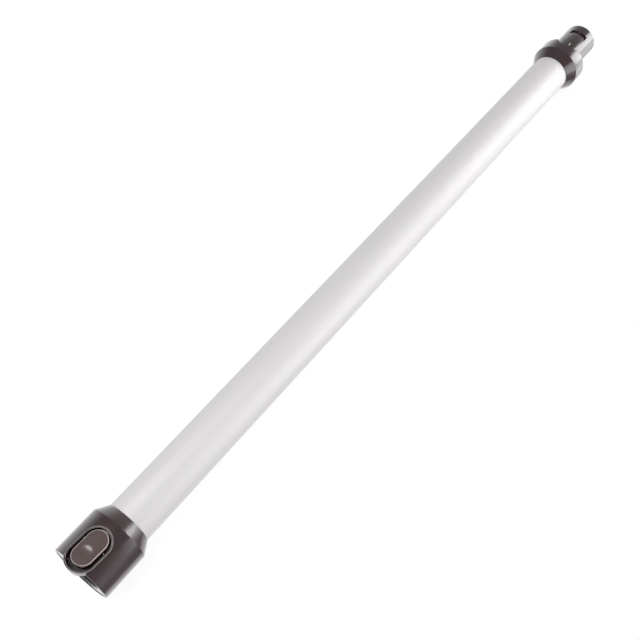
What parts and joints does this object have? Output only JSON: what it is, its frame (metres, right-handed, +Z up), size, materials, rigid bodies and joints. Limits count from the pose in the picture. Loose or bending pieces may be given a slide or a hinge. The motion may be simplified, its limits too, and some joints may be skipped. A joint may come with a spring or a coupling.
{
  "type": "vacuum extension wand",
  "caption": "Straight metal vacuum extension wand with a dark collar and spigot at one end and a latching socket with a release button at the other.",
  "frame": {"origin": "on the axis shared by the spigot and the socket, at the collar edge that seats against the next part", "axes": "+X along the wand and out of the spigot's end, +Z up through the release button"},
  "size_m": [0.711, 0.0484, 0.0532],
  "materials": {
    "tube_metal": "fine satin silver",
    "dark_shell": "glossy charcoal moulding",
    "dark_moulding": "satin black moulding",
    "button_plastic": "satin brown-grey moulding",
    "seal_rubber": "matt black rubber",
    "contact_metal": "plain stamped metal",
    "pin_steel": "plain drawn steel",
    "wire_sheath": "matt insulation"
  },
  "bodies": {
    "wand": {"wand_tube": "tube_metal", "wire_duct": "dark_moulding", "live_wire": "wire_sheath", "return_wire": "wire_sheath", "wire_crimps": "contact_metal", "socket_cuff": "dark_shell", "socket_liner": "dark_moulding", "bore_seal": "seal_rubber", "pivot_pin": "pin_steel", "return_spring": "pin_steel", "socket_contact_carrier": "dark_moulding", "socket_pin_left": "contact_metal", "socket_pin_right": "contact_metal", "collar": "dark_shell", "spigot": "dark_shell", "plug_contact_carrier": "dark_moulding", "plug_socket_left": "contact_metal", "plug_socket_right": "contact_metal"},
    "button": {"latch_lever": "dark_moulding", "button_cap": "button_plastic"}
  },
  "joints": [
    {"name": "button_press", "type": "hinge", "parent": "wand", "child": "button", "pos_m": [-0.652, 0, 0.0181], "axis": [0, -1, 0], "range_deg": [0, 7], "stiffness_Nm_per_rad": 0.1, "springref_deg": -6.88, "deforming": ["return_spring"]}
  ]
}
